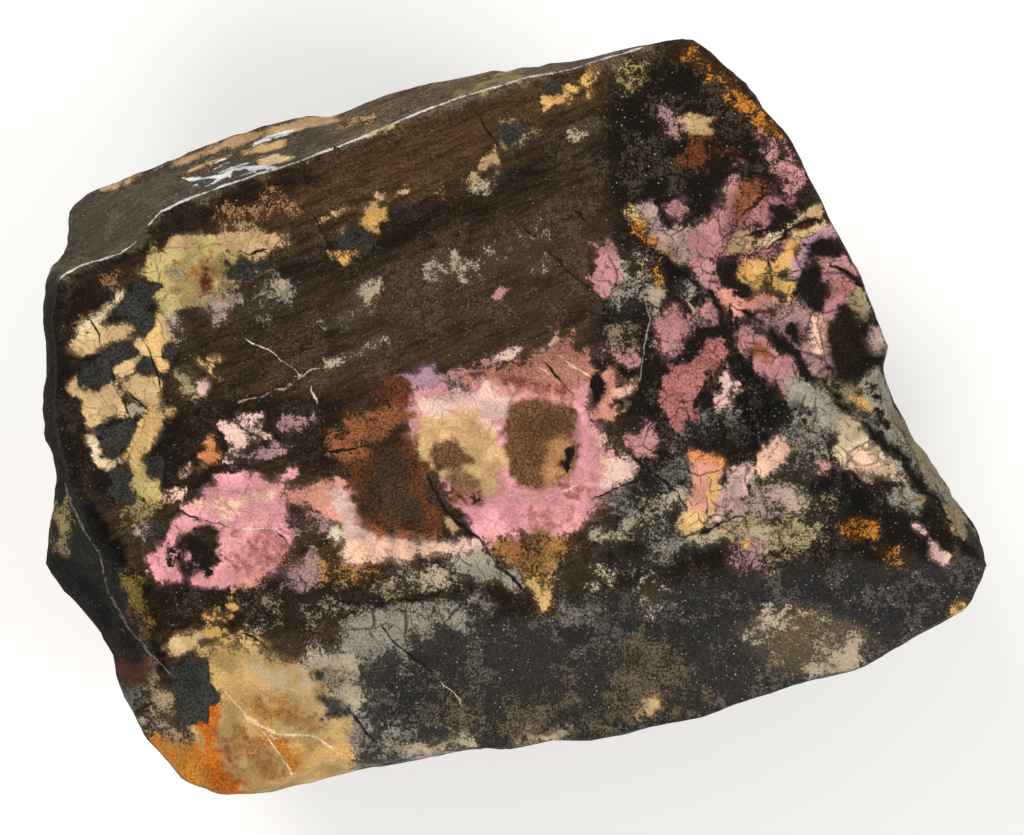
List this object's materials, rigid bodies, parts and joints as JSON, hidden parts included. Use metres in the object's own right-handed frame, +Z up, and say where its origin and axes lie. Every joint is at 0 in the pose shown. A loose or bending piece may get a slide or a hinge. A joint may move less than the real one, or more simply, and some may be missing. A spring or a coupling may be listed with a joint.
{
  "type": "rhodonite specimen",
  "caption": "Rough block of pink and black rhodonite with one sawn and polished face, broken natural sides and a flat underside to rest on.",
  "frame": {"origin": "centre of the bounding box, on the surface that the stone rests on", "axes": "+X along the stone's long side, to the right as the polished face is looked at; +Y away from the viewer, towards the higher long side; +Z up"},
  "size_m": [0.094, 0.0744, 0.0365],
  "materials": {
    "stone": "polished on the sawn face, rough on the broken sides"
  },
  "bodies": {
    "root": {"rhodonite_stone": "stone"}
  },
  "joints": []
}
